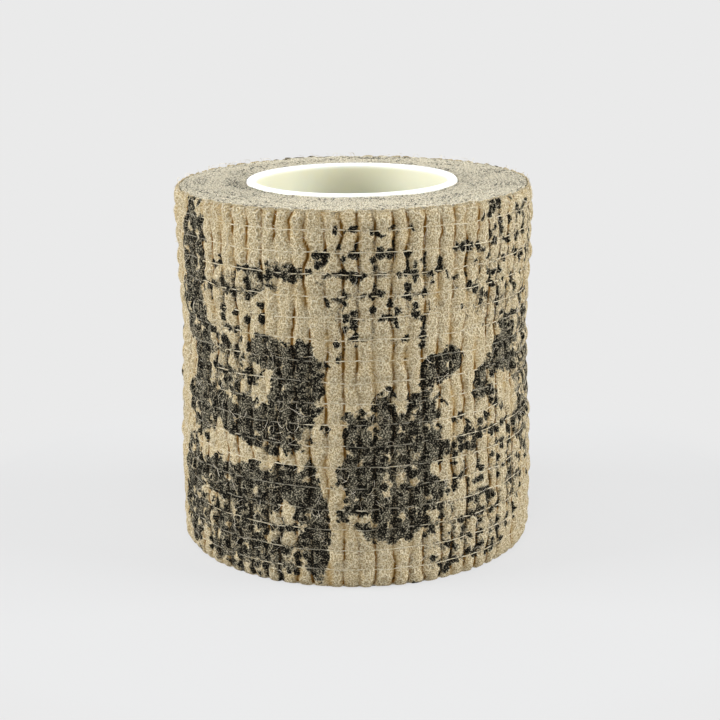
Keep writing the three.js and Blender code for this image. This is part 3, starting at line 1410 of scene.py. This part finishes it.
@dataclass(frozen=True)
class Span:
    """One stretch of the last turn: where it starts and ends, and how finely it is made.

    Attributes:
        stretch: which of the CAD's stretches it stands for.
        start, end: its angles.
        columns: how many steps it has along the web.
        back_rows: how many steps cross its inner side.
    """

    stretch: Stretch
    start: float
    end: float
    columns: int
    back_rows: int


class LastTurn:
    """The last turn of the web with its elastic yarns and loose fibres, in three stretches end to end.

    The tail lies over two joints. Its first piece starts a little before the root joint and ends a little
    short of the joint in the tail's middle, and its second takes over there and runs past that joint to the
    tip.
    """

    # How many steps cross the face and an edge, the fields' value on an edge, and the degrees in a column.
    FRONT_ROWS = 128
    EDGE_ROWS = 5
    EDGE_FIELD = 0.08
    STEP = 0.50

    # The web: how thick it is with its ribs, how round its edges are, and the gap at the seam in degrees.
    THICKNESS = 0.78
    MARGIN = 0.22
    SEAM_GAP = 0.25

    # How many degrees before a joint a piece of the tail starts, with a little slack more before the joint in
    # the tail's middle, and how its tip lifts.
    BEND = 5.5
    SLACK = 0.5
    TIP_LIFT = 0.35
    TIP_LIFT_ARC = 9.0

    # The yarns: their size, how much wider the bake map shows them, how many steps each way they feel the
    # face, how much of their height comes from its highest point there, and how deep they are sunk.
    YARN_RADIUS = 0.065
    YARN_SIDES = 6
    YARN_SQUEEZE = 40.0
    YARN_REACH = 9
    YARN_TAUT = 0.55
    YARN_SUNK = 0.02

    # The loose fibres: how many there are, how far their roots keep from the ends, and how each is made.
    FIBRES_PER_DEGREE = 4.2
    FIBRE_MARGIN = 1.6
    FIBRE_POINTS = 7
    FIBRE_SIDES = 3

    def __init__(self, roll: Roll) -> None:
        """Sets the three stretches out along the winding.

        Args:
            roll: what the pieces are made from.
        """
        self.roll = roll
        w = roll.winding
        start = w.tip - 360.0 + self.SEAM_GAP
        first = w.root - self.BEND
        middle = w.curl - self.BEND - self.SLACK
        self.spans = [
            self.span(Stretch.TURN, start, first, 6),
            self.span(Stretch.ROOT, first, middle, 64),
            self.span(Stretch.TIP, middle, w.tip, 64),
        ]

    def span(self, stretch: Stretch, start: float, end: float, back_rows: int) -> Span:
        """A stretch with steps of about the same size as the others'."""
        return Span(stretch, start, end, round((end - start) / self.STEP), back_rows)

    def lift(self, angle: Array) -> Array:
        """How far the tail's tip curls off the roll, with the square of the way along its last degrees."""
        share = np.clip((angle - self.roll.winding.tip) / self.TIP_LIFT_ARC + 1.0, 0.0, 1.0)
        return self.TIP_LIFT * share**2

    def crests(self, angle: Array, height: Array) -> Array:
        """The radius of the smooth surface through the ribs' crests."""
        return self.roll.winding.face(angle) + self.roll.bulge(height) + self.lift(angle)

    def surface(self, angle: Array, height: Array) -> tuple[Array, dict[str, Array]]:
        """The radius of the web's printed face, and its fields for the materials."""
        drop, fields = self.roll.outer.relief(angle, height)
        return self.crests(angle, height) - drop - self.roll.edge_drop(height), fields

    def back(self, angle: Array, height: Array) -> tuple[Array, dict[str, Array]]:
        """The web's inner side.

        Args:
            angle: degrees round the roll.
            height: millimetres up.

        Returns:
            Its radius, and its fields, which are the face's, softened.
        """
        drop, fields = self.roll.outer.relief(angle, height)
        ease = 0.35 * np.clip(self.roll.edge_drop(height), 0.0, 0.5)
        soft = {key: 0.45 * values for key, values in fields.items()}
        return self.crests(angle, height) - self.THICKNESS - 0.10 * drop - ease, soft

    def follow(self, made: bpy.types.Object, span: Span) -> None:
        """Makes a piece of the main turn move with the roll; a piece of the tail is left where it lies, with
        its place baked into its mesh.

        Args:
            made: the piece, after its mesh is final.
            span: the stretch that it belongs to.
        """
        w = self.roll.winding
        if span.stretch is Stretch.TURN:
            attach(made, "roll")
            return
        if span.stretch is Stretch.ROOT:
            hinge, bodies = w.root, ("roll", "tail_root")
        else:
            hinge, bodies = w.curl, ("tail_root", "tail_tip")
        ends = (hinge - self.BEND + self.SLACK, hinge + self.BEND - self.SLACK)
        places = [round_roll(np.array(e), w.face(e), np.array(0.5 * w.width)) * MM for e in ends]
        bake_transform(made)

    def web(self, span: Span) -> bpy.types.Object:
        """Makes one stretch of the web: face, upper edge, back and lower edge, carried along it.

        The two edges are humps, a margin times the sine of half a turn, that join the face to the back.

        Args:
            span: the stretch.

        Returns:
            The piece.
        """
        w = self.roll.winding
        angle = np.linspace(span.start, span.end, span.columns + 1)[:, None]
        wave = ValueNoise(71)
        margin = self.MARGIN
        front = np.linspace(0.0, 1.0, self.FRONT_ROWS)[None, :]
        edges = (self.roll.outer.relief(angle, np.full(angle.shape, at))[1] for at in (0.0, w.width))
        low_notch, high_notch = (fields["crease"] for fields in edges)
        top = w.width + 0.08 - 0.16 * (1.0 + wave(angle / 2.3, 0.5)) - 0.30 * high_notch
        bottom = 0.02 + 0.07 * (1.0 + wave(angle / 2.6, 9.5)) + 0.20 * low_notch
        z = bottom + margin + (top - bottom - 2.0 * margin) * front
        radius, face_fields = self.surface(angle, z)
        parts = [(radius, z)]
        fields = {key: [values] for key, values in face_fields.items()}
        back_z = top - margin + (bottom - top + 2.0 * margin) * np.linspace(0.0, 1.0, span.back_rows)[None, :]
        back_radius, back_fields = self.back(angle, back_z)
        share = np.linspace(0.0, 1.0, self.EDGE_ROWS + 2)[None, 1:-1]
        hump = margin * np.sin(np.pi * share)
        turns = (
            (radius[:, -1:], back_radius[:, :1], top - margin + hump),
            (back_radius[:, -1:], radius[:, :1], bottom + margin - hump),
        )
        for from_radius, to_radius, level in turns:
            edge = np.broadcast_arrays(from_radius + (to_radius - from_radius) * share, level)
            parts.append(tuple(edge))
            for values in fields.values():
                values.append(np.full(edge[0].shape, self.EDGE_FIELD))
        parts.insert(2, (back_radius, back_z))
        for key, values in fields.items():
            values.insert(2, back_fields[key])
        radius, height = (
            np.concatenate([np.broadcast_to(p[i], (len(angle), p[i].shape[1])) for p in parts], axis=1)
            for i in (0, 1)
        )
        shown = {key: np.concatenate(values, axis=1) for key, values in fields.items()}
        rows = height.shape[1]
        hidden = slice(self.FRONT_ROWS + self.EDGE_ROWS, rows - self.EDGE_ROWS)
        shown["cover"] = self.roll.print.coverage(angle, height)
        shown["cover"][:, hidden] *= 0.45
        outline = np.cumsum(np.hypot(np.diff(radius[0]), np.diff(height[0])))
        ply = np.concatenate([[0.0], outline, [outline[-1] + margin]])
        ply = np.broadcast_to(ply, (len(angle), rows + 1))
        face_share = np.concatenate([height[:, : self.FRONT_ROWS], ply[:, self.FRONT_ROWS :]], axis=1)
        weave = np.stack(np.broadcast_arrays(w.arc(angle), face_share), axis=-1)
        squeeze, bands = np.ones(rows), 1
        if span.stretch is Stretch.TURN:
            squeeze[hidden], bands = 0.12, 2
        points = round_roll(angle, radius, height)
        made = Loft(points, weave, False, bands, squeeze, shown).mesh(f"{span.stretch.value}_web")
        made.data.materials.append(self.roll.wardrobe.web)
        self.follow(made, span)
        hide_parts(f"{span.stretch.value}_face_ply", f"{span.stretch.value}_back_ply")
        length = math.radians(span.end - span.start) * float(w.face(0.5 * (span.start + span.end))) * MM
        return made

    def yarn(self, span: Span, number: int) -> bpy.types.Object:
        """One elastic yarn's length in a stretch: taut over the ribs, sunk a little where they are proud.

        Its radius is between the highest and the mean of the face around it, smoothed by a window shaped as a
        raised cosine, and a slow noise sinks and lifts it.

        Args:
            span: the stretch.
            number: the yarn's number, from 0 for the lowest.

        Returns:
            The piece.
        """
        w = self.roll.winding
        steps = span.columns * 2
        angle = np.linspace(span.start + 0.05, span.end - 0.05, steps + 1)
        height = self.roll.outer.yarn_height(np.array(float(number)), angle)
        radius, _ = self.surface(angle, height)
        reach = self.YARN_REACH
        padded = np.pad(radius, reach, mode="edge")
        windows = np.lib.stride_tricks.sliding_window_view(padded, 2 * reach + 1)
        mean = windows.mean(axis=1)
        taut = mean + self.YARN_TAUT * (windows.max(axis=1) - mean)
        kernel = np.hanning(2 * reach + 3)[1:-1]
        taut = np.convolve(np.pad(taut, reach, mode="edge"), kernel / kernel.sum(), mode="valid")
        sink = ValueNoise(81)
        radius = taut - self.YARN_SUNK + 0.05 * sink(angle / 3.1, number * 2.9)
        path = round_roll(angle, radius, height)
        thick = np.full(len(angle), self.YARN_RADIUS) * (1.0 + 0.18 * sink(angle / 0.8, number * 4.1 + 9.0))
        points = tube(path, thick, self.YARN_SIDES)
        arc = w.arc(angle)
        round_it = np.linspace(0.0, 2.0 * np.pi * self.YARN_RADIUS, self.YARN_SIDES + 1)
        weave = np.stack(np.broadcast_arrays(arc[:, None], round_it[None, :]), axis=-1)
        name = f"{span.stretch.value}_yarn_{number + 1:02d}"
        cover = np.repeat(self.roll.print.coverage(angle, height)[:, None], self.YARN_SIDES, axis=1)
        squeeze = np.full(self.YARN_SIDES, self.YARN_SQUEEZE)
        made = Loft(points, weave, False, 1, squeeze, {"cover": cover}).mesh(f"{name}_strand")
        made.data.materials.append(self.roll.wardrobe.yarn)
        self.follow(made, span)
        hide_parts(name)
        return made

    def fibres(self, span: Span) -> bpy.types.Object:
        """Loose fibres on a stretch: thin three-sided tubes on arcs that rise from the face and return.

        A fibre sets off from its root at a chance bearing. A share s of the way along it, it is turned by s
        times its own curl and stands off the face by its rise times 4 s (1 - s).

        Args:
            span: the stretch.

        Returns:
            The piece.
        """
        w = self.roll.winding
        draw = np.random.default_rng({Stretch.TURN: 91, Stretch.ROOT: 92, Stretch.TIP: 93}[span.stretch])
        count = round(self.FIBRES_PER_DEGREE * (span.end - span.start))
        points_each, sides, margin = self.FIBRE_POINTS, self.FIBRE_SIDES, self.FIBRE_MARGIN
        root = draw.uniform(span.start + margin * 2.0, span.end - margin * 2.0, count)
        low = draw.uniform(margin, w.width - 0.4, count)
        rim = draw.random(count) < 0.16
        low = np.where(rim, w.width - draw.uniform(0.1, 0.8, count), low)
        bearing = draw.uniform(0.0, 2.0 * np.pi, count)
        length = draw.uniform(0.7, 2.2, count)
        curl = draw.normal(0.0, 1.1, count)
        rise = draw.uniform(0.02, 0.16, count) + 0.16 * (draw.random(count) < 0.12)
        share = np.linspace(0.0, 1.0, points_each)
        turn = bearing[:, None] + curl[:, None] * share
        step = length[:, None] / (points_each - 1)
        along = np.cumsum(np.cos(turn) * step, axis=1)
        up = np.cumsum(np.sin(turn) * step, axis=1)
        angle = root[:, None] + np.degrees(along / w.root_radius)
        height = np.clip(low[:, None] + up, 0.15, w.width + 0.35)
        radius, _ = self.surface(angle, np.clip(height, 0.1, w.width - 0.1))
        radius = radius + 0.02 + rise[:, None] * 4.0 * share * (1.0 - share)
        path = round_roll(angle, radius, height)
        tangent = np.gradient(path, axis=1)
        tangent /= np.linalg.norm(tangent, axis=-1, keepdims=True)
        out = path * [1.0, 1.0, 0.0]
        out /= np.linalg.norm(out, axis=-1, keepdims=True)
        side = np.cross(tangent, out)
        side /= np.linalg.norm(side, axis=-1, keepdims=True)
        thick = draw.uniform(0.014, 0.026, count)[:, None, None]
        around = np.radians(90.0 + 360.0 * np.arange(sides) / sides)
        ring = [path + thick * (np.cos(t) * out + np.sin(t) * side) for t in around]
        flat = np.stack(ring, axis=2).reshape(-1, 3) * MM
        first = (np.arange(count) * points_each * sides)[:, None, None]
        i = (np.arange(points_each - 1) * sides)[None, :, None]
        j = np.arange(sides)[None, None, :]
        k = (j + 1) % sides
        start = first + i
        quads = np.stack([start + j, start + k, start + sides + k, start + sides + j], axis=-1).reshape(-1, 4)
        last = first[:, 0] + (points_each - 1) * sides
        ends = np.concatenate([first[:, 0] + [[2, 1, 0]], last + [[0, 1, 2]]])
        data = bpy.data.meshes.new(f"{span.stretch.value}_loose_fibres")
        data.from_pydata(flat.tolist(), [], quads.tolist() + ends.tolist())
        data.update()
        layer = data.uv_layers.new(name="weave")
        corner = np.zeros(len(data.loops), np.int32)
        data.loops.foreach_get("vertex_index", corner)
        places = np.stack([w.arc(angle), height], axis=-1).repeat(sides, axis=1).reshape(-1, 2)
        layer.data.foreach_set("uv", places[corner].astype(np.float32).ravel())
        made = bpy.data.objects.new(data.name, data)
        bpy.context.scene.collection.objects.link(made)
        made.data.materials.append(self.roll.wardrobe.fibre)
        self.follow(made, span)
        return made

    def build(self) -> list[bpy.types.Object]:
        """Makes every piece of the three stretches.

        Returns:
            The pieces.
        """
        made = []
        for span in self.spans:
            made.append(self.web(span))
            made.extend(self.yarn(span, n) for n in range(self.roll.winding.yarns))
            made.append(self.fibres(span))
        return made


# --------------------------------------------------------------------------------------------- the stage


@dataclass(frozen=True)
class Lamp:
    """A square soft light that looks at the roll.

    Attributes:
        name: the light's name.
        place: where it hangs, in metres.
        side: how wide it is, in metres.
        watts: its power.
    """

    name: str
    place: tuple[float, float, float]
    side: float
    watts: float


class Stage:
    """The camera, the floor, the lights and the world."""

    # The camera: its place, its two turns in radians, its lens and frame in millimetres, its shift and reach.
    EYE = (0.0, -0.2167, 0.08336)
    PITCH = 0.265
    ROLL = 0.0100
    LENS = 79.4
    SENSOR = 36.0
    SHIFT = (0.00867, -0.0020)
    CLIP = (0.01, 20.0)

    # The backdrop's tone, the floor's size and tones, where the shadow on it fades, and the world's light.
    PAPER = 0.823
    FLOOR_HALF = 3.0
    FLOOR_TONE = (0.77, 0.77, 0.77)
    FLOOR_SEEN = (0.500, 0.510, 0.522)
    SHADOW_REACH = (0.030, 0.075)
    SHADOW_LIFTED = 0.80
    AMBIENT = 0.17
    LAMPS = (
        Lamp("left_light", (-0.55, -0.07, 0.30), 0.36, 5.0),
        Lamp("right_light", (0.55, -0.07, 0.30), 0.36, 4.6),
        Lamp("top_light", (0.0, 0.05, 0.62), 0.46, 1.2),
        Lamp("front_light", (0.0, -0.30, 0.58), 0.30, 1.1),
    )

    def camera(self) -> None:
        """Places the camera: it looks along +Y, tipped down by its pitch and turned about its axis."""
        c, s = math.cos(self.PITCH), math.sin(self.PITCH)
        right, up, back = Vector((1, 0, 0)), Vector((0, s, c)), Vector((0, -c, s))
        c, s = math.cos(self.ROLL), math.sin(self.ROLL)
        axes = Matrix((right * c - up * s, up * c + right * s, back)).transposed().to_4x4()
        data = bpy.data.cameras.new("camera")
        data.lens, data.sensor_width = self.LENS, self.SENSOR
        data.shift_x, data.shift_y = self.SHIFT
        data.clip_start, data.clip_end = self.CLIP
        made = bpy.data.objects.new("camera", data)
        made.matrix_world = Matrix.Translation(self.EYE) @ axes
        bpy.context.scene.collection.objects.link(made)
        bpy.context.scene.camera = made

    def seen_plain(self, graph: Graph) -> bpy.types.NodeSocket:
        """A mask of the rays that come from the camera, a mirror or glass.

        Args:
            graph: where its nodes go.

        Returns:
            The mask's socket.
        """
        path = graph.add("LightPath")
        shown = graph.math("MAXIMUM", path.outputs["Is Camera Ray"], path.outputs["Is Glossy Ray"])
        return graph.math("MAXIMUM", shown, path.outputs["Is Transmission Ray"])

    def floor(self) -> None:
        """A wide pale floor that keeps the roll's shadow near it and fades into the backdrop's tone."""
        h = self.FLOOR_HALF
        data = bpy.data.meshes.new("floor")
        data.from_pydata([(-h, -h, 0), (h, -h, 0), (h, h, 0), (-h, h, 0)], [], [(0, 1, 2, 3)])
        material = bpy.data.materials.new("floor_paper")
        material.use_nodes = True
        material.node_tree.nodes.clear()
        graph = Graph(material.node_tree)
        place = graph.add("TexCoord").outputs["Object"]
        away = graph.add("VectorMath", {0: place}, operation="LENGTH").outputs["Value"]
        plain = graph.between(away, *self.SHADOW_REACH)
        plain = graph.math("MAXIMUM", plain, self.SHADOW_LIFTED)
        seen = self.seen_plain(graph)
        share = graph.math("MULTIPLY", plain, seen)
        tone = graph.blend(seen, self.FLOOR_TONE, self.FLOOR_SEEN)
        shade = graph.add("BsdfDiffuse", {"Color": tone})
        glow = graph.add("Emission", {"Color": (self.PAPER, self.PAPER, self.PAPER, 1.0), "Strength": 1.0})
        both = graph.add("MixShader", {0: share, 1: shade.outputs[0], 2: glow.outputs[0]})
        graph.add("OutputMaterial", {"Surface": both.outputs[0]})
        data.materials.append(material)
        made = bpy.data.objects.new("floor", data)
        bpy.context.scene.collection.objects.link(made)

    def world(self) -> None:
        """An even soft light from all round, and the backdrop's tone wherever the world itself is seen."""
        world = bpy.data.worlds.new("studio")
        world.use_nodes = True
        world.node_tree.nodes.clear()
        graph = Graph(world.node_tree)
        soft = graph.add("Background", {"Color": (1.0, 1.0, 1.0, 1.0), "Strength": self.AMBIENT})
        paper = graph.add("Background", {"Color": (self.PAPER, self.PAPER, self.PAPER, 1.0), "Strength": 1.0})
        both = graph.add("MixShader", {0: self.seen_plain(graph), 1: soft.outputs[0], 2: paper.outputs[0]})
        graph.add("OutputWorld", {"Surface": both.outputs[0]})
        bpy.context.scene.world = world

    def lamps(self) -> None:
        """Hangs the lights, each turned towards the middle of the roll."""
        aim = sum(CAD_BOX, Vector()) / 2
        for lamp in self.LAMPS:
            data = bpy.data.lights.new(lamp.name, "AREA")
            data.size, data.energy = lamp.side, lamp.watts
            made = bpy.data.objects.new(lamp.name, data)
            made.location = lamp.place
            made.rotation_euler = (Vector(lamp.place) - aim).to_track_quat("Z", "Y").to_euler()
            bpy.context.scene.collection.objects.link(made)

    def build(self) -> None:
        """Builds the whole stage and sets a plain view transform."""
        self.camera()
        self.floor()
        self.world()
        self.lamps()
        bpy.context.scene.view_settings.view_transform = "Standard"


def main() -> None:
    """Builds the stage and every piece in order, and reports each one."""
    logging.basicConfig(level=logging.INFO, format="%(name)s: %(message)s")
    Stage().build()
    roll = Roll()
    made = [Core(roll).build(), WoundLaps(roll).build(), *LastTurn(roll).build()]
    for piece in made:
        LOG.info("%s: %d faces", piece.name, len(piece.data.polygons))


if __name__ == "__main__":
    main()
